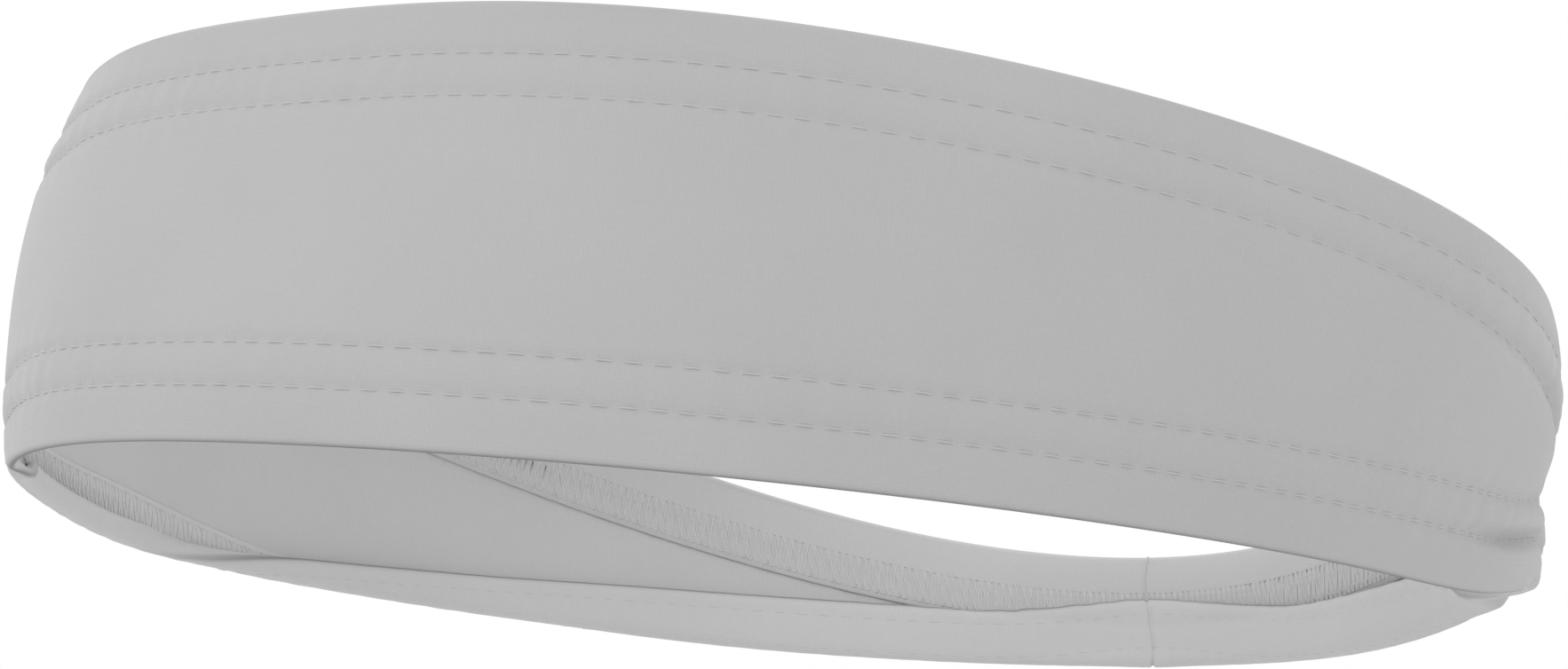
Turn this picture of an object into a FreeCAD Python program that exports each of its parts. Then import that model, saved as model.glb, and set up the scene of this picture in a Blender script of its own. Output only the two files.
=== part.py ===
"""Sports headband: one tapered strip of jersey, closed into a loop by a seam at the centre back.

Millimetres. The rim stands on Z = 0, +Z is up, the forehead faces -Y and the origin is the centre of the loop.
Every piece is a thin layer that follows the loop, cut to a strip by a shape seen from the side.
"""
import FreeCAD, Part
import math
import os
import Sketcher
from FreeCAD import Placement, Rotation, Vector

SIZES = {
    # The loop's outer face at three levels: half its width, and its reach to the front and to the back.
    "rim_half_width": 79.5,
    "rim_front": 97.7,
    "rim_back": 89.9,
    "waist_level": 24.0,
    "waist_half_width": 81.5,
    "waist_front": 94.7,
    "waist_back": 104.5,
    "crown_level": 50.0,
    "crown_half_width": 80.5,
    "crown_front": 87.2,
    "crown_back": 117.5,
    # The sides are widest this far behind the origin, and each is one arc.
    "widest_y": 14.3,
    "side_radius": 134.0,
    # The top edge seen from the side is one arc, highest over the forehead and falling to the back.
    "crest_y": -55.7,
    "crest_height": 47.0,
    "crest_radius": 360.0,
    # The bottom edge turned up inside the back, seen from the side.
    "fold_y": 95.0,
    "fold_height": 10.2,
    "fold_radius": 440.0,
    "fold_start": 12.0,
    # Cloth, hems and thread.
    "ply_thickness": 0.9,
    "thread_thickness": 0.3,
    "layer_gap": 0.05,
    "hem_width": 10.2,
    "edge_to_needle": 5.2,
    "needle_gauge": 4.5,
    "allowance_width": 6.0,
    "seam_thread_width": 0.7,
    "seam_clearance": 0.05,
    "seam_inset": 0.6,
    # The strip is parted at its two sides, where its stretch is taken up.
    "side_gap": 0.4,
    # Length and width of the cutting shapes, wider than the loop.
    "cutter_reach": 260.0,
}

EDGE_ON_Y_AXIS = -2
ORIGIN_POINT = (-1, 1)
START, END, CENTRE = 1, 2, 3
# A cylinder stands along Z; this turns it to lie along X.
ALONG_X = Rotation(Vector(0, 1, 0), 90)

doc = FreeCAD.newDocument("headband")


def cell(name):
    return f"<<sizes>>.{name}"


def make_sheet():
    sheet = doc.addObject("Spreadsheet::Sheet", "sizes")
    sheet.Label = "sizes"
    for row, (name, value) in enumerate(SIZES.items(), start=1):
        sheet.set(f"A{row}", name)
        sheet.set(f"B{row}", str(value))
        sheet.setAlias(f"B{row}", name)
    doc.recompute()


def plane(body, role):
    return next(item for item in body.Origin.OriginFeatures if item.Role == role)


def cap_radius(side_radius, half_width, reach):
    """Radius of the end arc that runs tangent into both side arcs at this reach from the widest line."""
    side_offset = side_radius - half_width
    return (side_radius**2 - side_offset**2 - reach**2) / (2 * (side_radius - reach))


def add_arc(sketch, centre, radius, first, last):
    circle = Part.Circle(centre, Vector(0, 0, 1), radius)
    return sketch.addGeometry(Part.ArcOfCircle(circle, first, last), False)


def bind(sketch, name, constraint, expression):
    index = sketch.addConstraint(constraint)
    sketch.renameConstraint(index, name)
    sketch.setExpression(f"Constraints.{name}", expression)


def outline_sketch(body, name, level, inset, inset_text):
    """The loop's egg-shaped outline at one level: a front, a back and two side arcs, each tangent to the next.

    inset moves the whole outline inwards from the outer face of the cloth.
    """
    half_width = SIZES[f"{level}_half_width"] - inset
    front = SIZES[f"{level}_front"] - inset
    back = SIZES[f"{level}_back"] - inset
    side_radius = SIZES["side_radius"] - inset
    widest = SIZES["widest_y"]
    side_offset = side_radius - half_width
    front_radius = cap_radius(side_radius, half_width, front + widest)
    back_radius = cap_radius(side_radius, half_width, back - widest)
    front_centre = Vector(0, front_radius - front, 0)
    back_centre = Vector(0, back - back_radius, 0)
    front_turn = math.atan2(front_centre.y - widest, side_offset)
    back_turn = math.atan2(back_centre.y - widest, side_offset)

    sketch = body.newObject("Sketcher::SketchObject", name)
    sketch.AttachmentSupport = [(plane(body, "XY_Plane"), "")]
    sketch.MapMode = "FlatFace"
    if level != "rim":
        sketch.setExpression("AttachmentOffset.Base.z", cell(f"{level}_level"))

    front_arc = add_arc(sketch, front_centre, front_radius, -math.pi - front_turn, front_turn)
    right_arc = add_arc(sketch, Vector(-side_offset, widest, 0), side_radius, front_turn, back_turn)
    back_arc = add_arc(sketch, back_centre, back_radius, back_turn, math.pi - back_turn)
    left_arc = add_arc(
        sketch, Vector(side_offset, widest, 0), side_radius, math.pi - back_turn, math.pi - front_turn
    )
    front_point = sketch.addGeometry(Part.Point(Vector(0, -front, 0)), True)
    back_point = sketch.addGeometry(Part.Point(Vector(0, back, 0)), True)

    loop = [front_arc, right_arc, back_arc, left_arc]
    for arc, following in zip(loop, loop[1:] + loop[:1]):
        sketch.addConstraint(Sketcher.Constraint("Tangent", arc, END, following, START))
    sketch.addConstraint(
        Sketcher.Constraint("Symmetric", right_arc, CENTRE, left_arc, CENTRE, EDGE_ON_Y_AXIS)
    )
    sketch.addConstraint(Sketcher.Constraint("Equal", right_arc, left_arc))
    for point, arc in ((front_point, front_arc), (back_point, back_arc)):
        sketch.addConstraint(Sketcher.Constraint("PointOnObject", point, START, arc))
        sketch.addConstraint(Sketcher.Constraint("PointOnObject", point, START, EDGE_ON_Y_AXIS))

    bind(
        sketch,
        "side_radius",
        Sketcher.Constraint("Radius", right_arc, side_radius),
        f"{cell('side_radius')} - {inset_text}",
    )
    bind(
        sketch,
        "side_offset",
        Sketcher.Constraint("DistanceX", right_arc, CENTRE, *ORIGIN_POINT, side_offset),
        f"{cell('side_radius')} - {cell(level + '_half_width')}",
    )
    bind(
        sketch,
        "widest",
        Sketcher.Constraint("DistanceY", *ORIGIN_POINT, right_arc, CENTRE, widest),
        cell("widest_y"),
    )
    bind(
        sketch,
        "front",
        Sketcher.Constraint("DistanceY", front_point, START, *ORIGIN_POINT, front),
        f"{cell(level + '_front')} - {inset_text}",
    )
    bind(
        sketch,
        "back",
        Sketcher.Constraint("DistanceY", *ORIGIN_POINT, back_point, START, back),
        f"{cell(level + '_back')} - {inset_text}",
    )
    return sketch


def add_loft(body, kind, name, inset, inset_text):
    levels = ("rim", "waist", "crown")
    outlines = [outline_sketch(body, f"{name}_{level}", level, inset, inset_text) for level in levels]
    loft = body.newObject(kind, name)
    loft.Profile = outlines[0]
    loft.Sections = outlines[1:]
    return loft


def make_layer(name, plies, threads, thickness):
    """A layer all round the loop, this many plies and threads in from the outer face of the cloth."""
    ply_step = SIZES["ply_thickness"] + SIZES["layer_gap"]
    thread_step = SIZES["thread_thickness"] + SIZES["layer_gap"]
    inset = plies * ply_step + threads * thread_step
    inset_text = (
        f"({plies} * ({cell('ply_thickness')} + {cell('layer_gap')})"
        f" + {threads} * ({cell('thread_thickness')} + {cell('layer_gap')}))"
    )
    body = doc.addObject("PartDesign::Body", name)
    add_loft(body, "PartDesign::AdditiveLoft", f"{name}_outside", inset, inset_text)
    doc.recompute()
    solid_volume = body.Shape.Volume
    add_loft(
        body,
        "PartDesign::SubtractiveLoft",
        f"{name}_inside",
        inset + SIZES[thickness],
        f"({inset_text} + {cell(thickness)})",
    )
    doc.recompute()
    if body.Shape.Volume > solid_volume / 2:
        raise RuntimeError(f"{name} is not hollow")
    return body


def make_disc(name, curve, drop_text):
    """Everything below an arc of the side view, as a wide disc across the loop; drop lowers the arc."""
    disc = doc.addObject("Part::Cylinder", name)
    disc.Placement = Placement(Vector(0, 0, 0), ALONG_X)
    disc.setExpression("Radius", f"{cell(curve + '_radius')} - {drop_text}")
    disc.setExpression("Height", cell("cutter_reach"))
    disc.setExpression("Placement.Base.x", f"-{cell('cutter_reach')} / 2")
    disc.setExpression("Placement.Base.y", cell(f"{curve}_y"))
    disc.setExpression("Placement.Base.z", f"{cell(curve + '_height')} - {cell(curve + '_radius')}")
    return disc


def make_box(name, x_text, y_text, z_text, length_text, width_text, height_text):
    box = doc.addObject("Part::Box", name)
    box.setExpression("Length", length_text)
    box.setExpression("Width", width_text)
    box.setExpression("Height", height_text)
    box.setExpression("Placement.Base.x", x_text)
    box.setExpression("Placement.Base.y", y_text)
    box.setExpression("Placement.Base.z", z_text)
    return box


def make_slab(name, y_text, z_text, width_text, height_text):
    """A box across the whole width of the loop."""
    reach = cell("cutter_reach")
    return make_box(name, f"-{reach} / 2", y_text, z_text, reach, width_text, height_text)


def cut(name, base, tool):
    result = doc.addObject("Part::Cut", name)
    result.Base = base
    result.Tool = tool
    return result


def common(name, shapes):
    result = doc.addObject("Part::MultiCommon", name)
    result.Shapes = shapes
    return result


def make_piece(label, shapes):
    """One node: what all the shapes share."""
    piece = common(label, shapes)
    piece.Label = label
    pieces.append(piece)


def arc_strip(name, curve, top_text, bottom_text):
    """The strip between two depths below an arc of the side view."""
    above = make_disc(f"{name}_above", curve, top_text)
    below = make_disc(f"{name}_below", curve, bottom_text)
    return cut(name, above, below)


def above_rim(name, low_text, high_text):
    """The strip between two heights above the rim."""
    reach = cell("cutter_reach")
    return make_slab(name, f"-{reach} / 2", low_text, reach, f"{high_text} - {low_text}")


make_sheet()
pieces = []

hem = cell("hem_width")
needle_outer = cell("edge_to_needle")
needle_inner = f"({cell('edge_to_needle')} + {cell('needle_gauge')})"
thread = cell("thread_thickness")
reach = cell("cutter_reach")

# Layers, from the outer face of the cloth inwards.
needle_layer = make_layer("needle_layer", 0, -1, "thread_thickness")
wall_layer = make_layer("wall_layer", 0, 0, "ply_thickness")
second_ply = make_layer("second_ply", 1, 0, "ply_thickness")
second_looper = make_layer("second_looper", 2, 0, "thread_thickness")
third_ply = make_layer("third_ply", 2, 0, "ply_thickness")
third_looper = make_layer("third_looper", 3, 0, "thread_thickness")
fourth_ply = make_layer("fourth_ply", 3, 1, "ply_thickness")
fifth_ply = make_layer("fifth_ply", 4, 1, "ply_thickness")
fold_needle_layer = make_layer("fold_needle_layer", 5, 1, "thread_thickness")

# The two lengths of the loop, parted at its sides, and the stretch where the bottom edge is turned up.
front_half = make_slab("front_half", f"-{reach} / 2", "-1", f"({reach} - {cell('side_gap')}) / 2", reach)
back_half = make_slab("back_half", f"{cell('side_gap')} / 2", "-1", f"{reach} / 2", reach)
fold_part = make_slab("fold_part", cell("fold_start"), "0", f"{reach} / 2", reach)

# Strips, each between two lines that run along the cloth.
whole_wall = make_disc("whole_wall", "crest", "0")
under_crest = make_disc("under_crest", "crest", cell("seam_inset"))


def stitch_strips(prefix, strip):
    """The two needle rows and the looper ribbon of one hem; strip makes the band between two distances."""
    return {
        "needle_outer": strip(f"{prefix}_outer_row", needle_outer, f"({needle_outer} + {thread})"),
        "needle_inner": strip(f"{prefix}_inner_row", needle_inner, f"({needle_inner} + {thread})"),
        "looper": strip(f"{prefix}_ribbon", needle_outer, needle_inner),
    }


def below_crest(name, near, far):
    return arc_strip(name, "crest", near, far)


def below_fold(name, near, far):
    return arc_strip(name, "fold", near, far)


top_rows = stitch_strips("top", below_crest)
rim_rows = stitch_strips("rim", above_rim)
fold_rows = stitch_strips("fold", below_fold)
top_hem_strip = below_crest("top_hem_strip", "0", hem)
rim_hem_strip = above_rim("rim_hem_strip", "0", hem)
fold_strip = make_disc("fold_strip", "fold", "0")

# Front length of the loop.
make_piece("front_panel", [wall_layer, whole_wall, front_half])
make_piece("front_top_hem", [second_ply, top_hem_strip, front_half])
make_piece("front_bottom_hem", [second_ply, rim_hem_strip, front_half])
for place, rows in (("top", top_rows), ("bottom", rim_rows)):
    make_piece(f"front_{place}_needle_outer", [needle_layer, rows["needle_outer"], front_half])
    make_piece(f"front_{place}_needle_inner", [needle_layer, rows["needle_inner"], front_half])
    make_piece(f"front_{place}_looper", [second_looper, rows["looper"], front_half])

# Back length of the loop, with its bottom edge turned up inside.
make_piece("back_panel", [wall_layer, whole_wall, back_half])
make_piece("back_top_hem", [third_ply, top_hem_strip, back_half])
make_piece("back_top_needle_outer", [needle_layer, top_rows["needle_outer"], back_half])
make_piece("back_top_needle_inner", [needle_layer, top_rows["needle_inner"], back_half])
make_piece("back_top_looper", [third_looper, top_rows["looper"], back_half])
make_piece("back_bottom_hem", [fourth_ply, fold_strip, fold_part])
make_piece("back_turned_face", [fifth_ply, fold_strip, fold_part])
make_piece("back_bottom_needle_outer", [fold_needle_layer, fold_rows["needle_outer"], fold_part])
make_piece("back_bottom_needle_inner", [fold_needle_layer, fold_rows["needle_inner"], fold_part])
make_piece("back_bottom_looper", [third_looper, fold_rows["looper"], fold_part])

# The seam at the centre back: the strip's two ends opened flat inside, with the thread between them.
thread_half = f"{cell('seam_thread_width')} / 2"
allowance_edge = f"({thread_half} + {cell('seam_clearance')})"
allowance = cell("allowance_width")
seam_boxes = {
    "seam_allowance_left": (allowance_edge, allowance),
    "seam_allowance_right": (f"-{allowance_edge} - {allowance}", allowance),
    "seam_thread": (f"-{thread_half}", cell("seam_thread_width")),
}
for label, (x_text, length_text) in seam_boxes.items():
    box = make_box(f"{label}_box", x_text, "0", cell("seam_inset"), length_text, f"{reach} / 2", reach)
    make_piece(label, [second_ply, under_crest, box])

doc.recompute()

for item in doc.Objects:
    if "Invalid" in item.State or "Error" in item.State:
        raise RuntimeError(f"{item.Label} did not compute: {item.State}")
for piece in pieces:
    if piece.Shape.isNull() or not piece.Shape.isValid() or len(piece.Shape.Solids) != 1:
        raise RuntimeError(f"{piece.Label} is not one good solid")

os.makedirs("parts", exist_ok=True)
for piece in pieces:
    piece.Shape.exportStep(f"parts/{piece.Label}.step")
    print(f"{piece.Label:26} {piece.Shape.Volume:8.1f} mm3")
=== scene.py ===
"""Sports headband: one strip of light grey jersey, hemmed along both edges and seamed at the centre back."""
import math

import bpy
import numpy as np
from mathutils import Matrix, Vector


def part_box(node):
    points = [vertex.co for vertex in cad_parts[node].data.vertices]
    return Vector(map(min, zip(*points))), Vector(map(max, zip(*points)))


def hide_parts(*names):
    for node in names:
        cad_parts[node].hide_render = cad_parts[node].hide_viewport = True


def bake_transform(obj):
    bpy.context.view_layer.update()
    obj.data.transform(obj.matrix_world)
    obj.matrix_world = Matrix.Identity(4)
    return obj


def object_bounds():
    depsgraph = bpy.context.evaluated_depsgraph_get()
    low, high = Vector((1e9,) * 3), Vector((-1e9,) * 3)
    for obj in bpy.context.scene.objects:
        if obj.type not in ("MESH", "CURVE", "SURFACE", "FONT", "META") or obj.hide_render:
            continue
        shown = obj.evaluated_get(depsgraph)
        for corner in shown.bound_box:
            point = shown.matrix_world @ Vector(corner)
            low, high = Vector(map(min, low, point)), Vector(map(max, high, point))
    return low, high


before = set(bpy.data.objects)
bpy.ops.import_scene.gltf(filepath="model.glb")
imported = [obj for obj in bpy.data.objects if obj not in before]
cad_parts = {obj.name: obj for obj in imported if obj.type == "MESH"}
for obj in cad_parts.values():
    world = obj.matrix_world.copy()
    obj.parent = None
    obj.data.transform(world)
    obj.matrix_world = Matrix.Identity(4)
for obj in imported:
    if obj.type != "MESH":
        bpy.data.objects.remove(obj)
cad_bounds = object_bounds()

MM = 0.001

# ---------------------------------------------------------------- sizes, from the frame

cad_low, cad_high = (np.array(corner) for corner in cad_bounds)
BAND_LENGTH_IN_UNITS = 2.506
# Half the loop's width at the sides, before its outline is shaped.
UNIT = (cad_high[1] - cad_low[1]) / BAND_LENGTH_IN_UNITS
CENTRE_Y = -7.0 * MM
FLOOR_Z = cad_low[2]
ROW_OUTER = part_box("front_bottom_needle_outer")[0].z
ROW_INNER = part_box("front_bottom_needle_inner")[0].z
ROW_MIDDLE = (ROW_OUTER + ROW_INNER) / 2
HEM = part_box("front_bottom_hem")[1].z

# ---------------------------------------------------------------- cloth and thread

PLY = 0.6 * MM
HALF_PLY = PLY / 2
PLY_STEP = 0.64 * MM
NEEDLE_THREAD = 0.24 * MM
LOOPER_THREAD = 0.16 * MM
STITCH = 2.9 * MM
EDGE_FOLD = PLY_STEP / 2
# A turned-in ply is pressed thin over this last stretch before its cut edge.
PRESSED_REACH = 1.6 * MM
TOP_TURN_RADIUS = 0.98 * MM
BOTTOM_TURN_RADIUS = 1.33 * MM
# Cloth between the hem's edge and its first turn.
LEG = 1.2 * MM
# Lengths of cloth from each edge that are laid out by their distance from that edge.
LOWER_REACH = 15.6 * MM
UPPER_REACH = 11.6 * MM
# Points across each part of the strip, round its folds and round its cut edges.
HEM_POINTS = 16
UPPER_POINTS = 24
WALL_POINTS = 16
LOWER_POINTS = 50
FOLD_POINTS = 7
EDGE_POINTS = 3
# Row at which the lower stitched part starts, counted from the top hem's cut edge.
LOWER_START = HEM_POINTS + FOLD_POINTS + UPPER_POINTS + WALL_POINTS
# Seeds of the unevenness of the stitched parts and of the wall.
LOWER_SEED = 11
UPPER_SEED = 23
WALL_SEED = 41
RIM_LIFT = 1.3 * MM

# Angles run round the loop: 0 at the forehead, 90 degrees at the wearer's left, 180 at the back seam.
BACK = math.pi


def smooth(x, start, end):
    """0 at start, 1 at end, and eased between."""
    t = np.clip((x - start) / (end - start), 0.0, 1.0)
    return t * t * (3 - 2 * t)


def bump(x, centre, width):
    """1 at the centre, and fading to nothing either side."""
    return np.exp(-(((x - centre) / width) ** 2))


def wrap(angle):
    """The angle from -180 to 180 degrees."""
    return (angle + math.pi) % (2 * math.pi) - math.pi


def deg(angle):
    return math.radians(angle)


def between(start, end, count):
    """Evenly spaced values between two ends, without the ends."""
    return np.linspace(start, end, count + 2)[1:-1]


# ---------------------------------------------------------------- the loop's shape


def outline(theta):
    """The rim seen from above, in units of UNIT, round the loop's own centre."""
    radius = 1 - 0.030 * np.cos(2 * theta) - 0.030 * np.cos(3 * theta)
    radius = radius + 0.019 * np.sin(2 * theta) - 0.007 * np.sin(3 * theta)
    x = np.sin(theta) * (1 - 0.233 * np.cos(theta)) * radius
    y = -1.2 * np.cos(theta) * radius
    return x, y


def side_pull(theta):
    """Where the rim is drawn out of line: behind the wearer's left, and at the wearer's right."""
    reach = 0.30
    left = bump(wrap(theta - deg(132)), 0, reach)
    right = bump(wrap(theta - deg(272)), 0, reach)
    return left, right


def rim_height(theta):
    left, right = side_pull(theta)
    height = 0.064 * left - 0.008 * right
    height = height - 0.0070 * np.cos(theta) - 0.0024 * np.cos(2 * theta)
    height = height - 0.0010 * np.sin(theta) - 0.0090 * np.sin(2 * theta)
    settled = 0.35 * MM * smooth(np.abs(wrap(theta)), deg(125), deg(150))
    return height * UNIT + RIM_LIFT - settled


def top_height(theta):
    """The strip stands tall in front and at the sides, and drops at the back."""
    height = 0.478 + 0.134 * np.cos(theta) - 0.016 * np.cos(2 * theta)
    height = height - 0.012 * np.cos(3 * theta) + 0.002 * np.sin(theta)
    height = height - 0.141 * bump(wrap(theta - BACK), 0, 0.738)
    return height * UNIT + RIM_LIFT


def lean(theta):
    """How far the top edge leans in, as a share of its reach."""
    even = -0.010 + 0.099 * np.cos(theta) + 0.026 * np.cos(2 * theta)
    even = even + 0.015 * np.cos(3 * theta) - 0.009 * np.cos(4 * theta)
    odd = -0.004 * np.sin(theta) - 0.029 * np.sin(2 * theta)
    return even + odd + 0.033 * np.sin(3 * theta) - 0.020 * np.sin(4 * theta)


def belly(theta, share):
    """How far the wall swells out between its rim and its top edge."""
    middle = 0.022 + 0.012 * np.cos(theta) - 0.012 * np.sin(theta)
    upper = -0.003 * np.cos(theta) + 0.003 * np.sin(theta)
    upper = upper - 0.033 * np.cos(2 * theta)
    return middle * 4 * share * (1 - share) + upper * 6 * share**2 * (1 - share)


def inward(theta):
    """Unit vectors that point level into the loop, square to its outline."""
    step = 1e-4
    x1, y1 = outline(theta + step)
    x0, y0 = outline(theta - step)
    dx, dy = x1 - x0, y1 - y0
    length = np.hypot(dx, dy)
    return -dy / length, dx / length


def place(theta, depth, height):
    """Points at a depth in from the outer face and a height, all arrays of one shape."""
    low, top = rim_height(theta), top_height(theta)
    share = (height - low) / (top - low)
    # The cloth is skewed a little at the back, so its seam stands askew.
    theta = theta + deg(5) * share * bump(wrap(theta - BACK), 0, deg(35))
    x, y = outline(theta)
    left, right = side_pull(theta)
    pull = (0.067 * left + 0.040 * right) * (1 - share)
    scale = UNIT * (1 - lean(theta) * share + belly(theta, share) + pull)
    nx, ny = inward(theta)
    # The rolled part has slipped a little sideways near the seam.
    slip = 0.72 * np.clip(depth - PLY, 0, None) * bump(wrap(theta - BACK), 0, deg(28))
    px = x * scale + nx * depth - ny * slip
    py = CENTRE_Y + y * scale + ny * depth + nx * slip
    return np.stack([px, py, height], axis=-1)


# ---------------------------------------------------------------- the turned-up hem


def turned(theta, right, left):
    """Half a turn, 0 in front and pi at the back. Each side gives its start and its end in degrees."""
    t = wrap(theta)
    on_right = smooth(-t, deg(right[0]), deg(right[1]))
    on_left = smooth(t, deg(left[0]), deg(left[1]))
    return math.pi * np.clip(on_right + on_left, 0, 1)


def first_turn(theta):
    """How far the bottom hem has turned up inside the loop: 0 hanging straight, pi turned right up."""
    return turned(theta, right=(46, 60), left=(119, 134))


def second_turn(theta):
    """How far the turned-up hem has rolled up once more, towards the back."""
    return turned(theta, right=(80, 106), left=(130, 147))


def roll_face(theta):
    """Height of the flat face of the rolled hem, between its bottom and its top turn."""
    from_back = wrap(theta - BACK)
    broad = smooth(from_back, deg(-62), deg(-30)) * (1 - smooth(from_back, deg(30), deg(88)))
    ripple = 0.22 * MM * (1 + np.sin(3.1 * from_back + 0.6))
    return 4.15 * MM * broad + ripple + 1.7 * MM * bump(from_back, 0, deg(8))


def lower_path(theta, s):
    """Depth and height of the outer ply, and its inner normal, at s along the cloth up from the hem's edge.

    theta and s are arrays of one shape. Height is counted from where the wall starts to turn.
    """
    top_turn, bottom_turn = first_turn(theta), second_turn(theta)
    face = roll_face(theta)
    top_arc = top_turn * TOP_TURN_RADIUS
    bottom_arc = bottom_turn * BOTTOM_TURN_RADIUS
    # Distance down the cloth from the wall's end.
    down = LEG + top_arc + face + bottom_arc - s
    a = np.clip(down, 0, bottom_arc) / BOTTOM_TURN_RADIUS
    on_face = np.clip(down - bottom_arc, 0, face)
    b = np.clip(down - bottom_arc - face, 0, top_arc) / TOP_TURN_RADIUS
    on_leg = np.clip(down - bottom_arc - face - top_arc, 0, None)
    heading = bottom_turn + top_turn
    depth = HALF_PLY + BOTTOM_TURN_RADIUS * (1 - np.cos(a)) + on_face * np.sin(bottom_turn)
    depth += TOP_TURN_RADIUS * (np.cos(bottom_turn) - np.cos(bottom_turn + b))
    depth += on_leg * np.sin(heading)
    height = -BOTTOM_TURN_RADIUS * np.sin(a) - on_face * np.cos(bottom_turn)
    height -= TOP_TURN_RADIUS * (np.sin(bottom_turn + b) - np.sin(bottom_turn))
    height -= on_leg * np.cos(heading)
    height += np.clip(-down, 0, None)
    facing = a + b
    return depth, height, np.cos(facing), np.sin(facing)


def wall_start(theta):
    """Height at which the wall starts to turn, so that the cloth's lowest point is the rim."""
    s = np.linspace(0, LOWER_REACH, 121)
    tt, ss = np.meshgrid(theta, s, indexing="ij")
    _, height, _, nz = lower_path(tt, ss)
    outer = height - nz * HALF_PLY
    hanging = np.clip(np.cos(first_turn(theta)), 0, 1)
    edge = height[:, 0] - (EDGE_FOLD + HALF_PLY) * hanging
    lowest = np.minimum(outer.min(axis=1), edge)
    return rim_height(theta) - lowest


# ---------------------------------------------------------------- distance along the loop

# The loop's length is measured this far above its rim.
MEASURED_AT = 8 * MM
theta_table = np.linspace(0, 2 * math.pi, 4001)
table_points = place(theta_table, np.zeros_like(theta_table), rim_height(theta_table) + MEASURED_AT)
table_steps = np.linalg.norm(np.diff(table_points, axis=0), axis=1)
arc_table = np.concatenate([[0], np.cumsum(table_steps)])
LOOP = arc_table[-1]
SEAM_ARC = np.interp(BACK, theta_table, arc_table)


def arc_of(theta):
    """Distance along the loop from the forehead. It grows on past one time round."""
    turns = np.floor(theta / (2 * math.pi))
    return np.interp(theta - turns * 2 * math.pi, theta_table, arc_table) + turns * LOOP


def theta_of(arc):
    return np.interp(arc % LOOP, arc_table, theta_table)


# ---------------------------------------------------------------- relief


def wander(arc, seed, waves, strongest):
    """A smooth random curve round the loop, about 1 high, made of whole waves."""
    rng = np.random.default_rng(seed)
    total = np.zeros_like(arc)
    for count in waves:
        total += rng.normal() * np.cos(2 * math.pi * count * arc / LOOP + rng.uniform(0, 2 * math.pi))
    return total / strongest


def seam_relief(arc):
    """The seam is a narrow groove, on the low ridge of its allowances."""
    x = arc - SEAM_ARC
    groove = 0.27 * MM * bump(x, 0, 0.30 * MM)
    ridge = 0.16 * MM * bump(x, 0, 5.5 * MM)
    return ridge - groove


def hem_relief(theta, arc, s, seed):
    """How far the outer face stands out over a hem, s along the cloth from its edge."""
    t = wrap(theta)
    # The stitches mark the bottom hem less where it has rolled up.
    quiet = 1 - 0.75 * second_turn(theta) / math.pi * (s < LOWER_REACH) * (seed == LOWER_SEED)
    # They draw the cloth in harder in front on the right, and behind on the left.
    pull = 1 + 2.2 * bump(t, deg(-56), deg(16)) + 1.8 * bump(t, deg(128), deg(18))
    relief = np.zeros_like(s)
    for index, row in enumerate((ROW_OUTER, ROW_INNER)):
        shift = 0.18 * MM * wander(arc, seed + index, range(5, 14), 3)
        groove = bump(s, row + shift, 0.8 * MM)
        hole = 0.5 + 0.5 * np.cos(2 * math.pi * arc / STITCH + index)
        relief -= (0.20 * MM + 0.06 * MM * hole) * groove * pull
    relief *= quiet
    relief += 0.13 * MM * bump(s, ROW_MIDDLE, 1.5 * MM)
    pucker = wander(arc, seed + 5, range(70, 150, 3), 5) * bump(s, ROW_MIDDLE, 4.5 * MM)
    relief += 0.07 * MM * pucker * quiet
    return relief


def crease(amount, distance, at, width, t, centre, reach):
    """A fold along the loop, sunk where amount is below 0. It fades from its centre angle, in degrees."""
    return amount * bump(distance, at, width) * bump(t, deg(centre), deg(reach))


def wall_relief(theta, arc, above, top_s):
    """The wall's own unevenness and creases, by height above the rim and distance from the top edge."""
    t = wrap(theta)
    on_wall = smooth(above, 0.5 * MM, 5 * MM)
    swell = wander(arc, WALL_SEED, range(3, 10), 2.4) * np.sin(above / (21 * MM) + 0.8)
    swell += 0.6 * wander(arc, WALL_SEED + 1, range(6, 20), 3.5) * np.cos(above / (13 * MM))
    relief = 0.22 * MM * swell * on_wall
    # The inner row of the top hem deepens to a crease behind the wearer's left temple.
    relief += crease(-0.7 * MM, top_s, ROW_INNER + 0.3 * MM, 1.1 * MM, t, 114, 26)
    relief += crease(0.45 * MM, top_s, ROW_INNER + 6 * MM, 3.2 * MM, t, 118, 16)
    # The bottom hem is pinched where it starts to roll under, with a sharp crease lower down.
    relief += crease(-0.9 * MM, above, 11.5 * MM, 3.4 * MM, t, 122, 18)
    relief += crease(-1.3 * MM, above, 6.2 * MM, 1.0 * MM, t, 113, 9)
    relief += crease(0.4 * MM, above, 4.5 * MM, 2.4 * MM, t, 120, 14)
    return relief


# ---------------------------------------------------------------- points on the cloth


def pressed_ply(s, side):
    """Distance of a turned-in ply from the middle of the outer one. It is pressed thin at its cut edge."""
    near_edge = smooth(s, HEM - PRESSED_REACH, HEM)
    thin = 1 - 0.5 * near_edge
    under = PLY_STEP - HALF_PLY - 0.02 * MM * near_edge
    return under + HALF_PLY * thin + side * thin


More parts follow.
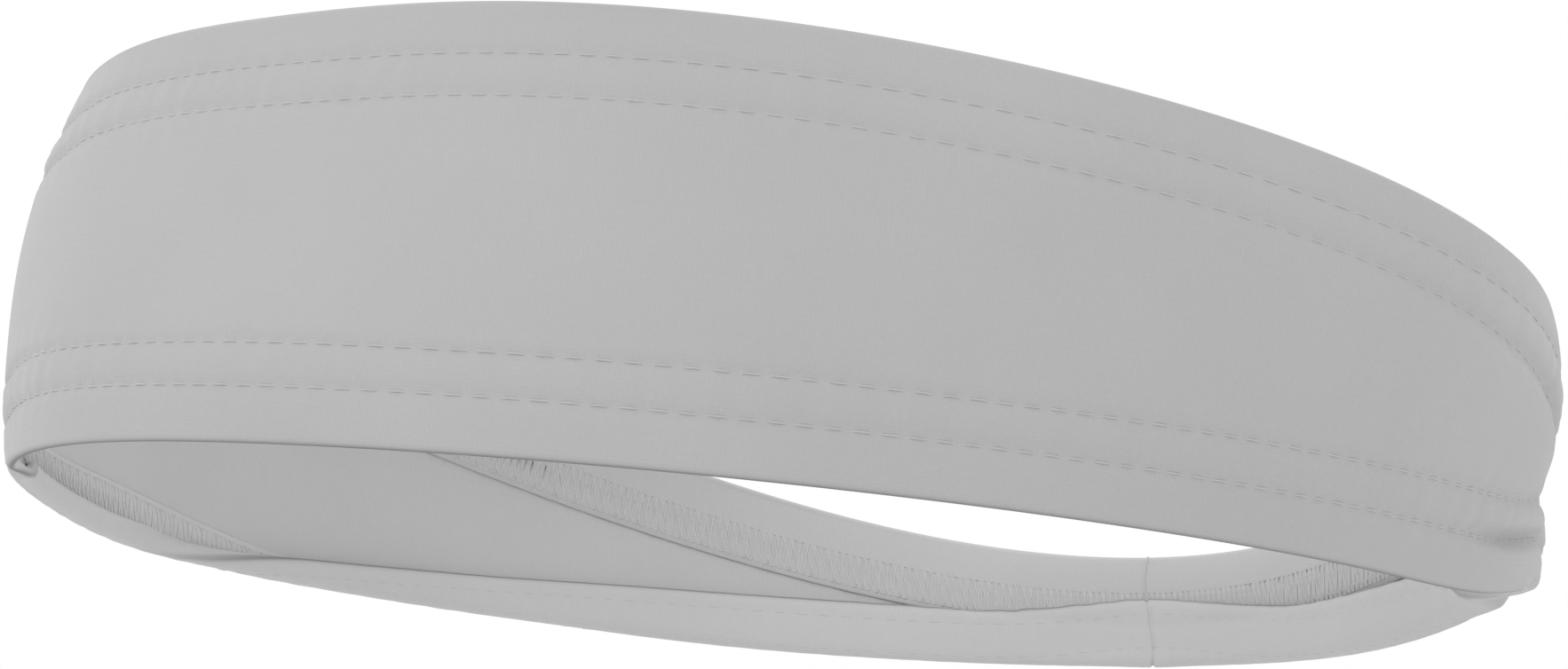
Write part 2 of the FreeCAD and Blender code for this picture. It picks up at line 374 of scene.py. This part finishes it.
class Section:
    """The cloth's cross-section at each angle, and points on it in space.

    side moves points off the middle of a ply: towards the face on the outer ply, and away from the outer
    ply on one that is turned in.
    """

    def __init__(self, theta):
        self.theta = theta
        self.start = wall_start(theta)
        self.top_end = top_height(theta) - EDGE_FOLD - HALF_PLY
        self.arc = arc_of(theta)

    def grid(self, values):
        """Two arrays of one shape: the angles, and the values at each of them."""
        values = np.asarray(values, float)
        tt = np.repeat(self.theta[:, None], values.size, axis=1)
        vv = np.repeat(values[None, :], self.theta.size, axis=0)
        return tt, vv

    def arcs(self, tt):
        return np.repeat(self.arc[:, None], tt.shape[1], axis=1)

    def stitched_end(self, tt):
        """Height at which the lower stitched part ends and the plain wall starts."""
        _, height, _, _ = lower_path(tt, np.full_like(tt, LOWER_REACH))
        return height + self.start[:, None]

    def below_top(self, height):
        """Distance down the cloth from the top edge, for heights on the wall."""
        return np.maximum(self.top_end[:, None] - height, 0) + EDGE_FOLD

    def sway(self, tt, height, top_s):
        """The wall's unevenness, which the turned-in plies share."""
        return wall_relief(tt, self.arcs(tt), height - rim_height(tt), top_s)

    def relief(self, tt, height, low_s, top_s):
        arc = self.arcs(tt)
        low = hem_relief(tt, arc, low_s, LOWER_SEED)
        top = hem_relief(tt, arc, top_s, UPPER_SEED)
        return low + top + self.sway(tt, height, top_s) + seam_relief(arc)

    def across(self, tt, height, s, top_s, side, seed):
        """Distance of a turned-in ply from the outer one. It shares the sway, and half the stitches' mark."""
        arc = self.arcs(tt)
        across = pressed_ply(s, side) - self.sway(tt, height, top_s)
        across -= 0.5 * (hem_relief(tt, arc, s, seed) + seam_relief(arc))
        return across

    def lower(self, s, side):
        """Points s up the outer ply from the bottom hem's edge."""
        tt, ss = self.grid(s)
        depth, height, nd, nz = lower_path(tt, ss)
        height = height + self.start[:, None]
        out = self.relief(tt, height, ss, self.below_top(height)) + side
        return place(tt, depth - nd * out, height - nz * out)

    def lower_hem(self, s, side):
        """Points s up the turned-in ply from the bottom hem's edge."""
        tt, ss = self.grid(s)
        depth, height, nd, nz = lower_path(tt, ss)
        height = height + self.start[:, None]
        across = self.across(tt, height, ss, self.below_top(height), side, LOWER_SEED)
        return place(tt, depth + nd * across, height + nz * across)

    def lower_fold(self, angles, side):
        """Points round the bottom hem's edge, from the outer ply to the turned-in one."""
        tt, bb = self.grid(angles)
        depth, height, nd, nz = lower_path(tt, np.zeros_like(tt))
        height = height + self.start[:, None]
        reach = EDGE_FOLD + side
        depth = depth + nd * EDGE_FOLD - nd * reach * np.cos(bb) + nz * reach * np.sin(bb)
        height = height + nz * EDGE_FOLD - nz * reach * np.cos(bb) - nd * reach * np.sin(bb)
        return place(tt, depth, height)

    def wall(self, shares, side):
        """Points up the plain wall, by their share of the way between the two stitched parts."""
        tt, share = self.grid(shares)
        low = self.stitched_end(tt)
        high = self.top_end[:, None] - (UPPER_REACH - EDGE_FOLD)
        height = low + (high - low) * share
        low_s = LOWER_REACH + (high - low) * share
        top_s = UPPER_REACH + (high - low) * (1 - share)
        out = self.relief(tt, height, low_s, top_s) + side
        return place(tt, HALF_PLY - out, height)

    def upper(self, s, side):
        """Points s down the outer ply from the top edge."""
        tt, ss = self.grid(s)
        height = self.top_end[:, None] - (ss - EDGE_FOLD)
        low_s = LOWER_REACH + height - self.stitched_end(tt)
        out = self.relief(tt, height, low_s, ss) + side
        return place(tt, HALF_PLY - out, height)

    def upper_hem(self, s, side):
        """Points s down the turned-in ply from the top edge."""
        tt, ss = self.grid(s)
        height = self.top_end[:, None] - (ss - EDGE_FOLD)
        across = self.across(tt, height, ss, ss, side, UPPER_SEED)
        return place(tt, HALF_PLY + across, height)

    def upper_fold(self, angles, side):
        """Points round the top edge, from the turned-in ply to the outer one."""
        tt, bb = self.grid(angles)
        reach = EDGE_FOLD + side
        depth = HALF_PLY + EDGE_FOLD + reach * np.cos(bb)
        height = self.top_end[:, None] + reach * np.sin(bb)
        return place(tt, depth, height)


# ---------------------------------------------------------------- the cloth


def make_mesh(name, points, faces):
    mesh = bpy.data.meshes.new(name)
    mesh.from_pydata(points.tolist(), [], faces)
    mesh.validate()
    mesh.update()
    obj = bpy.data.objects.new(name, mesh)
    bpy.context.scene.collection.objects.link(obj)
    for polygon in mesh.polygons:
        polygon.use_smooth = True
    return obj


def ring_faces(columns, rows):
    """Quads of a grid that closes on itself both ways; vertices run down each column in turn."""
    faces = []
    for i in range(columns):
        k = (i + 1) % columns
        for j in range(rows):
            m = (j + 1) % rows
            faces.append((i * rows + j, i * rows + m, k * rows + m, k * rows + j))
    return faces


def loop_angles():
    """Angles all round, closer together at the back seam."""
    coarse = 0.85 * MM
    fine = 0.14 * MM
    near = 1.3 * MM
    around = np.linspace(SEAM_ARC + near, SEAM_ARC + LOOP - near, int(LOOP / coarse))
    seam = np.arange(-near + fine, near - fine / 2, fine) + SEAM_ARC
    return theta_of(np.concatenate([seam, around]))


def raw_edge(start, end, before):
    """Points round the cloth's cut edge, from one skin to the other."""
    middle = (start + end) / 2
    out = start - before
    out /= np.linalg.norm(out, axis=1)[:, None]
    points = []
    for angle in between(0, math.pi, EDGE_POINTS):
        points.append(middle + (start - middle) * math.cos(angle) + out * HALF_PLY * math.sin(angle))
    return np.stack(points, axis=1)


def skin(section, side):
    """One skin of the strip, from the top hem's cut edge to the bottom hem's."""
    hem_s = np.linspace(EDGE_FOLD, HEM, HEM_POINTS)
    top_s = np.linspace(EDGE_FOLD, UPPER_REACH, UPPER_POINTS)
    fold = between(0, math.pi, FOLD_POINTS)
    parts = [
        section.upper_hem(hem_s[::-1], side),
        section.upper_fold(fold, side),
        section.upper(top_s, side),
        section.wall(between(0, 1, WALL_POINTS)[::-1], side),
        section.lower(lower_distances()[::-1], side),
        section.lower_fold(fold, side),
        section.lower_hem(hem_s, side),
    ]
    return np.concatenate(parts, axis=1)


def lower_distances():
    return np.linspace(0, LOWER_REACH, LOWER_POINTS)


def build_cloth():
    """The cloth as one closed sheet, with its widest width and its area."""
    theta = loop_angles()
    section = Section(theta)
    face = skin(section, HALF_PLY)
    back = skin(section, -HALF_PLY)
    lower_cap = raw_edge(face[:, -1], back[:, -1], face[:, -2])
    upper_cap = raw_edge(back[:, 0], face[:, 0], back[:, 1])
    grid = np.concatenate([face, lower_cap, back[:, ::-1], upper_cap], axis=1)
    columns, rows = grid.shape[:2]
    cloth = make_mesh("band_cloth", grid.reshape(-1, 3), ring_faces(columns, rows))
    lengths = np.linalg.norm(np.diff(face, axis=1), axis=2).sum(axis=1)
    # A column stands for the way to the next one, measured along a row low on the plain wall.
    low_row = face[:, LOWER_START - 3]
    spans = np.linalg.norm(np.roll(low_row, -1, axis=0) - low_row, axis=1)
    area = float((lengths * spans).sum())
    lay_uv(cloth, section, grid, face.shape[1])
    # Painted shade along the front's lower edge and the crest of the roll, kept as a layer for the jersey's
    # colour.
    add_layer(cloth, "painted_fold_shade", fold_shade_marks(theta, columns, rows))
    # Painted light on the faces that look into the loop, kept as a layer for the jersey's colour.
    add_layer(cloth, "painted_inside_light", inside_light_share(cloth, theta, columns, rows, face.shape[1]))
    return cloth, float(lengths.max()), area


def add_layer(cloth, name, values):
    layer = cloth.data.attributes.new(name, "FLOAT", "POINT")
    layer.data.foreach_set("value", values.reshape(-1))


def fold_shade_marks(theta, columns, rows):
    """Painted shade: 1 along the front's lower edge, where the underside of the fold is in shadow, and along
    the crest of the roll, where the gap behind it is in shadow.
    """
    shade_lines = np.zeros((columns, rows))
    fold_start = LOWER_START + LOWER_POINTS
    hanging = 1 - first_turn(theta) / math.pi
    for j, angle in enumerate(between(0, math.pi, FOLD_POINTS)):
        shade_lines[:, fold_start + j] = hanging * bump(angle, deg(90), deg(35))
    crest = LEG + first_turn(theta) * TOP_TURN_RADIUS - deg(72) * TOP_TURN_RADIUS
    rolled = second_turn(theta) / math.pi
    for j, s in enumerate(lower_distances()[::-1]):
        shade_lines[:, LOWER_START + j] = rolled * bump(s, crest, 0.30 * MM)
    return shade_lines


def inside_light_share(cloth, theta, columns, rows, skin_rows):
    """Painted light against the shade inside the loop: 1 where the turned-up face looks into the loop, and
    less on the top hem and the wrong side.
    """
    normals = np.zeros(columns * rows * 3)
    cloth.data.vertices.foreach_get("normal", normals)
    normals = normals.reshape(columns, rows, 3)
    nx, ny = inward(theta)
    facing_in = normals[..., 0] * nx[:, None] + normals[..., 1] * ny[:, None]
    fill_share = smooth(facing_in, -0.3, 0.5)
    fill_share[:, :HEM_POINTS] *= 0.35
    fill_share[:, skin_rows:] *= 0.65
    return fill_share


def lay_uv(cloth, section, grid, skin_rows):
    """A map in metres: along the loop, and across the strip."""
    columns, rows = grid.shape[:2]
    steps = np.linalg.norm(np.diff(grid[:, :skin_rows], axis=1), axis=2).mean(axis=0)
    across = np.concatenate([[0], np.cumsum(steps)])
    lower_edge = np.full(EDGE_POINTS, across[-1])
    upper_edge = np.full(EDGE_POINTS, across[0])
    across = np.concatenate([across, lower_edge, across[::-1], upper_edge])
    uv = np.zeros((columns, rows, 2))
    uv[..., 0] = section.arc[:, None]
    uv[..., 1] = across[None, :]
    layer = cloth.data.uv_layers.new(name="strip")
    corners = np.zeros(len(cloth.data.loops), int)
    cloth.data.loops.foreach_get("vertex_index", corners)
    # Every face is a quad. Those that close the loop run on past its length, not back to 0.
    quads = uv.reshape(-1, 2)[corners].reshape(-1, 4, 2)
    jump = quads[..., 0].max(axis=1) - quads[..., 0].min(axis=1) > LOOP / 2
    low = quads[..., 0] < LOOP / 2
    quads[..., 0] += np.where(jump[:, None] & low, LOOP, 0)
    layer.data.foreach_set("uv", quads.reshape(-1))


cloth, strip_width, strip_area = build_cloth()

# ---------------------------------------------------------------- threads

STITCH_COUNT = int(round(LOOP / STITCH))


def ring_axes(points, closed):
    """Two unit vectors square to the path, at each of its points."""
    ahead = np.roll(points, -1, axis=0)
    behind = np.roll(points, 1, axis=0)
    if not closed:
        ahead[-1], behind[0] = points[-1], points[0]
    along = ahead - behind
    along /= np.linalg.norm(along, axis=1)[:, None]
    first = np.cross(along, np.array([0, 0, 1.0]))
    upright = np.linalg.norm(first, axis=1) < 0.2
    first[upright] = np.cross(along[upright], np.array([1.0, 0, 0]))
    first /= np.linalg.norm(first, axis=1)[:, None]
    return first, np.cross(along, first)


def tube_faces(base, count, sides, closed):
    """Quads between neighbouring rings, and a cap at each end of an open tube."""
    faces = []
    for i in range(count if closed else count - 1):
        near = base + i * sides
        far = base + (i + 1) % count * sides
        for j in range(sides):
            m = (j + 1) % sides
            faces.append((near + j, far + j, far + m, near + m))
    if not closed:
        faces.append(tuple(base + j for j in range(sides)))
        faces.append(tuple(base + (count - 1) * sides + j for j in reversed(range(sides))))
    return faces


def tube(name, paths, radius, closed=True, sides=6):
    """Tubes along paths of points, in one piece."""
    all_points, faces = [], []
    angles = np.arange(sides) * 2 * math.pi / sides
    for points in paths:
        base = sum(len(p) for p in all_points)
        first, second = ring_axes(points, closed)
        ring = first[:, None] * np.cos(angles)[None, :, None]
        ring = ring + second[:, None] * np.sin(angles)[None, :, None]
        all_points.append((points[:, None] + ring * radius).reshape(-1, 3))
        faces += tube_faces(base, len(points), sides, closed)
    return make_mesh(name, np.concatenate(all_points), faces)


def at_rows(method, theta, s, side):
    """Points on the ply of the named Section method, each at its own angle, distance s and side."""
    points = np.zeros((theta.size, 3))
    # The methods take one list of distances for all angles, so each distinct one is laid out in turn.
    for value in np.unique(np.round(s, 8)):
        chosen = np.isclose(s, value, atol=1e-8)
        lay = getattr(Section(theta[chosen]), method)
        middle = lay([value], 0.0)[:, 0]
        moved = lay([value], 1.0 * MM)[:, 0]
        points[chosen] = middle + (moved - middle) / MM * side[chosen][:, None]
    return points


def along_stitches(samples):
    """Stitches counted from the forehead, with so many samples in each, and the angle of every sample."""
    phase = np.arange(STITCH_COUNT * samples) / samples
    return phase, theta_of(phase / STITCH_COUNT * LOOP)


def needle_row(name, method, row):
    """A row of straight stitches that dip into the cloth at each needle hole."""
    phase, theta = along_stitches(samples=8)
    dip = np.abs(np.cos(math.pi * phase)) ** 6
    # The stitches lie deeper in the part of the hem that has rolled up.
    sunk = 0.55 * second_turn(theta) / math.pi if method == "lower" else 0
    side = HALF_PLY + NEEDLE_THREAD * (0.22 - sunk) - dip * NEEDLE_THREAD * 1.2
    points = at_rows(method, theta, np.full(phase.size, row), side)
    return tube(name, [points], NEEDLE_THREAD / 2)


def looper_ribbon(name, method):
    """The looper thread inside a hem: three strands that swing between the two needle rows."""
    phase, theta = along_stitches(samples=12)
    strands = 3
    # Each strand's swing is rounded to this many steps either side of the middle.
    steps = 12
    reach = (ROW_INNER - ROW_OUTER) / 2
    paths = []
    for strand in range(strands):
        swing = np.sin(2 * math.pi * phase + strand * 2 * math.pi / strands)
        s = ROW_MIDDLE + reach * np.round(np.clip(swing * 1.25, -1, 1) * steps) / steps
        lift = 0.5 + 0.5 * np.cos(2 * math.pi * phase * 2 + strand * 2.1)
        side = HALF_PLY + LOOPER_THREAD * (0.45 * lift - 0.15)
        paths.append(at_rows(method, theta, s, side))
    return tube(name, paths, LOOPER_THREAD / 2, sides=5)


def seam_stitches():
    """The seam's own thread, seen as a fine line down in its groove."""
    section = Section(np.array([BACK]))
    side = HALF_PLY + 0.06 * MM
    count = 40
    parts = [
        section.upper_hem(np.linspace(EDGE_FOLD, HEM - 0.6 * MM, count)[::-1], side),
        section.upper_fold(between(0, math.pi, FOLD_POINTS), side),
        section.upper(np.linspace(EDGE_FOLD, UPPER_REACH, count), side),
    ]
    points = np.concatenate([part[0] for part in parts])
    points[:, 0] += 0.05 * MM * np.sin(np.arange(len(points)) * 1.3)
    return tube("seam_stitches", [points], NEEDLE_THREAD * 0.4, closed=False)


threads = {
    "top_needle_outer": needle_row("top_needle_outer", "upper", ROW_OUTER),
    "top_needle_inner": needle_row("top_needle_inner", "upper", ROW_INNER),
    "bottom_needle_outer": needle_row("bottom_needle_outer", "lower", ROW_OUTER),
    "bottom_needle_inner": needle_row("bottom_needle_inner", "lower", ROW_INNER),
    "top_looper": looper_ribbon("top_looper", "upper_hem"),
    "bottom_looper": looper_ribbon("bottom_looper", "lower_hem"),
    "seam_stitches": seam_stitches(),
}

# ---------------------------------------------------------------- riding on the frame


def stretch(piece):
    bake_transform(piece)


stretch(cloth)
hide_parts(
    "front_panel",
    "back_panel",
    "front_top_hem",
    "back_top_hem",
    "front_bottom_hem",
    "back_bottom_hem",
    "back_turned_face",
    "seam_allowance_left",
    "seam_allowance_right",
)

for name, piece in threads.items():
    stretch(piece)
    if name == "seam_stitches":
        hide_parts("seam_thread")
    else:
        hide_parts(f"front_{name}", f"back_{name}")

# ---------------------------------------------------------------- materials

# Spacing of the knit's columns, which run up the strip, and of its rows, which run along it.
KNIT_COLUMN = 0.55 * MM
KNIT_ROW = 0.42 * MM
# Bands to a unit of length in a Wave texture at scale 1.
WAVE_BANDS = 3.18
# A Mix node's sockets for colours.
MIX_FACTOR, MIX_A, MIX_B = 0, 6, 7
MIX_RESULT = 2


def new_material(name):
    material = bpy.data.materials.new(name)
    material.use_nodes = True
    nodes = material.node_tree.nodes
    shader = nodes["Principled BSDF"]
    return material, nodes, material.node_tree.links, shader


def noise(nodes, links, vector, size, detail=2):
    """The value of a cloudy texture, with clouds about as big as size."""
    texture = nodes.new("ShaderNodeTexNoise")
    texture.inputs["Scale"].default_value = 1 / size
    texture.inputs["Detail"].default_value = detail
    links.new(vector, texture.inputs["Vector"])
    return texture.outputs["Fac"]


def stripes(nodes, links, vector, direction, spacing):
    """The value of soft, straight bands across one direction."""
    texture = nodes.new("ShaderNodeTexWave")
    texture.wave_type = "BANDS"
    texture.bands_direction = direction
    texture.wave_profile = "SIN"
    texture.inputs["Scale"].default_value = 1 / spacing / WAVE_BANDS
    texture.inputs["Distortion"].default_value = 0.0
    links.new(vector, texture.inputs["Vector"])
    return texture.outputs["Fac"]


def weighted_sum(nodes, links, first, weight, second):
    """The first value times its weight, plus the second."""
    node = nodes.new("ShaderNodeMath")
    node.operation = "MULTIPLY_ADD"
    node.inputs[1].default_value = weight
    links.new(first, node.inputs[0])
    links.new(second, node.inputs[2])
    return node.outputs[0]


def greys(nodes, links, value, low, high, start=0.0, end=1.0):
    """A grey from low to high, as the value goes from start to end."""
    ramp = nodes.new("ShaderNodeValToRGB")
    ramp.color_ramp.elements[0].position = start
    ramp.color_ramp.elements[0].color = (low, low, low, 1)
    ramp.color_ramp.elements[1].position = end
    ramp.color_ramp.elements[1].color = (high, high, high, 1)
    links.new(value, ramp.inputs["Fac"])
    return ramp.outputs["Color"]


def roughen(nodes, links, shader, height, strength, distance):
    """Give a shader's surface the relief of a height value."""
    relief = nodes.new("ShaderNodeBump")
    relief.inputs["Strength"].default_value = strength
    relief.inputs["Distance"].default_value = distance
    links.new(height, relief.inputs["Height"])
    links.new(relief.outputs["Normal"], shader.inputs["Normal"])


def attribute(nodes, name):
    node = nodes.new("ShaderNodeAttribute")
    node.attribute_name = name
    return node.outputs["Fac"]


def jersey(name, low, high, knit_depth):
    """Heathered knit jersey, with painted shade along its folds and painted light on the faces that look into
    the loop.
    """
    material, nodes, links, shader = new_material(name)
    shader.inputs["Roughness"].default_value = 0.9
    shader.inputs["Sheen Weight"].default_value = 0.25
    shader.inputs["Sheen Roughness"].default_value = 0.5
    shader.inputs["Specular IOR Level"].default_value = 0.25
    uv = nodes.new("ShaderNodeUVMap")
    uv.uv_map = "strip"
    where = nodes.new("ShaderNodeTexCoord").outputs["Object"]
    columns = stripes(nodes, links, uv.outputs["UV"], "X", KNIT_COLUMN)
    rows = stripes(nodes, links, uv.outputs["UV"], "Y", KNIT_ROW)
    fuzz = noise(nodes, links, where, 0.35 * MM)
    knit = weighted_sum(nodes, links, columns, 1.6, rows)
    roughen(nodes, links, shader, weighted_sum(nodes, links, fuzz, 0.8, knit), knit_depth, 0.06 * MM)
    # Heathered yarn: a little lighter and darker in fine flecks and in broad clouds.
    clouds = noise(nodes, links, where, 38 * MM, detail=3)
    heather = greys(nodes, links, weighted_sum(nodes, links, fuzz, 0.35, clouds), low, high, 0.45, 0.90)
    # Painted light: faces that look into the loop are made up to 17% lighter, to lift the shade inside it.
    painted_fill = nodes.new("ShaderNodeMapRange")
    painted_fill.inputs["To Min"].default_value = 1.0
    painted_fill.inputs["To Max"].default_value = 1.17
    links.new(attribute(nodes, "painted_inside_light"), painted_fill.inputs["Value"])
    tone = nodes.new("ShaderNodeVectorMath")
    tone.operation = "SCALE"
    links.new(heather, tone.inputs[0])
    links.new(painted_fill.outputs["Result"], tone.inputs["Scale"])
    # Painted shade: near black is mixed into the colour along the folds, where shadow falls.
    darken = nodes.new("ShaderNodeMix")
    darken.data_type = "RGBA"
    darken.inputs[MIX_B].default_value = (0.10, 0.10, 0.10, 1)
    links.new(attribute(nodes, "painted_fold_shade"), darken.inputs[MIX_FACTOR])
    links.new(tone.outputs["Vector"], darken.inputs[MIX_A])
    links.new(darken.outputs[MIX_RESULT], shader.inputs["Base Color"])
    return material


def sewing_thread(name, low, high):
    """Spun thread, mottled and a little rough."""
    material, nodes, links, shader = new_material(name)
    shader.inputs["Roughness"].default_value = 0.75
    shader.inputs["Sheen Weight"].default_value = 0.3
    where = nodes.new("ShaderNodeTexCoord").outputs["Object"]
    twist = noise(nodes, links, where, 0.25 * MM)
    links.new(greys(nodes, links, twist, low, high), shader.inputs["Base Color"])
    roughen(nodes, links, shader, twist, 0.5, 0.05 * MM)
    return material


cloth.data.materials.append(jersey("jersey_face", 0.45, 0.48, 0.2))
needle_material = sewing_thread("needle_thread", 0.47, 0.53)
looper_material = sewing_thread("looper_thread", 0.57, 0.62)
for name, piece in threads.items():
    piece.data.materials.append(looper_material if name.endswith("looper") else needle_material)

# ---------------------------------------------------------------- camera


def aim_camera():
    """A long lens from below the wearer's front left, rolled so that the band slopes down to the right."""
    azimuth, elevation, roll = deg(36.0), deg(-8.77), deg(5.17)
    level = math.cos(elevation)
    back = Vector((math.sin(azimuth) * level, -math.cos(azimuth) * level, math.sin(elevation)))
    right = Vector((math.cos(azimuth), math.sin(azimuth), 0))
    up = back.cross(right)
    centre = Vector((0, CENTRE_Y, RIM_LIFT))
    distance, aside, above = 8 * UNIT, 0.0637 * UNIT, 0.3316 * UNIT
    position = centre + back * distance + right * aside + up * above
    turned_right = right * math.cos(roll) + up * math.sin(roll)
    turned_up = up * math.cos(roll) - right * math.sin(roll)
    data = bpy.data.cameras.new("camera")
    data.sensor_width = 36
    data.lens = 128.2
    data.clip_start = 0.01
    camera = bpy.data.objects.new("camera", data)
    axes = Matrix((turned_right, turned_up, back)).transposed().to_4x4()
    camera.matrix_world = Matrix.Translation(position) @ axes
    bpy.context.scene.collection.objects.link(camera)
    bpy.context.scene.camera = camera


aim_camera()

# ---------------------------------------------------------------- studio


def mix_shaders(nodes, links, first, second):
    mix = nodes.new("ShaderNodeMixShader")
    links.new(first, mix.inputs[1])
    links.new(second, mix.inputs[2])
    return mix


def add_floor():
    """A pale floor under the rim, solid from above and clear from below, because the camera is lower."""
    mesh = bpy.data.meshes.new("floor")
    reach = 3.0
    z = FLOOR_Z - 0.3 * MM
    corners = [(-reach, -reach, z), (reach, -reach, z), (reach, reach, z), (-reach, reach, z)]
    mesh.from_pydata(corners, [], [(0, 1, 2, 3)])
    floor = bpy.data.objects.new("floor", mesh)
    bpy.context.scene.collection.objects.link(floor)
    material, nodes, links, shader = new_material("floor")
    shader.inputs["Base Color"].default_value = (0.92, 0.92, 0.92, 1)
    shader.inputs["Roughness"].default_value = 0.9
    glow = nodes.new("ShaderNodeBsdfTranslucent")
    glow.inputs["Color"].default_value = (0.95, 0.95, 0.95, 1)
    table = mix_shaders(nodes, links, shader.outputs["BSDF"], glow.outputs["BSDF"])
    table.inputs["Fac"].default_value = 0.8
    clear = nodes.new("ShaderNodeBsdfTransparent")
    side = nodes.new("ShaderNodeNewGeometry")
    mix = mix_shaders(nodes, links, table.outputs["Shader"], clear.outputs["BSDF"])
    links.new(side.outputs["Backfacing"], mix.inputs["Fac"])
    links.new(mix.outputs["Shader"], nodes["Material Output"].inputs["Surface"])
    mesh.materials.append(material)


def add_light(name, position, size, power):
    data = bpy.data.lights.new(name, "AREA")
    data.shape = "SQUARE"
    data.size = size
    data.energy = power
    light = bpy.data.objects.new(name, data)
    light.location = position
    aim = Vector((0, 0, 0.02)) - Vector(position)
    light.rotation_euler = aim.to_track_quat("-Z", "Y").to_euler()
    bpy.context.scene.collection.objects.link(light)


def add_sky():
    """A white room, whose light is weaker from behind the band's own left."""
    world = bpy.data.worlds.new("studio")
    world.use_nodes = True
    nodes, links = world.node_tree.nodes, world.node_tree.links
    sky = nodes.new("ShaderNodeTexCoord")
    toward = nodes.new("ShaderNodeVectorMath")
    toward.operation = "DOT_PRODUCT"
    toward.inputs[1].default_value = (0.45, 0.89, 0)
    shade = nodes.new("ShaderNodeMapRange")
    shade.interpolation_type = "SMOOTHSTEP"
    shade.inputs["From Min"].default_value = 0.62
    shade.inputs["From Max"].default_value = 0.95
    shade.inputs["To Min"].default_value = 1.0
    shade.inputs["To Max"].default_value = 0.6
    links.new(sky.outputs["Generated"], toward.inputs[0])
    links.new(toward.outputs["Value"], shade.inputs["Value"])
    links.new(shade.outputs["Result"], nodes["Background"].inputs["Color"])
    nodes["Background"].inputs["Strength"].default_value = 1.0
    bpy.context.scene.world = world


add_floor()
add_sky()
bpy.context.scene.view_settings.view_transform = "Standard"
add_light("key", (-0.25, -0.92, 0.45), 0.7, 0.9)
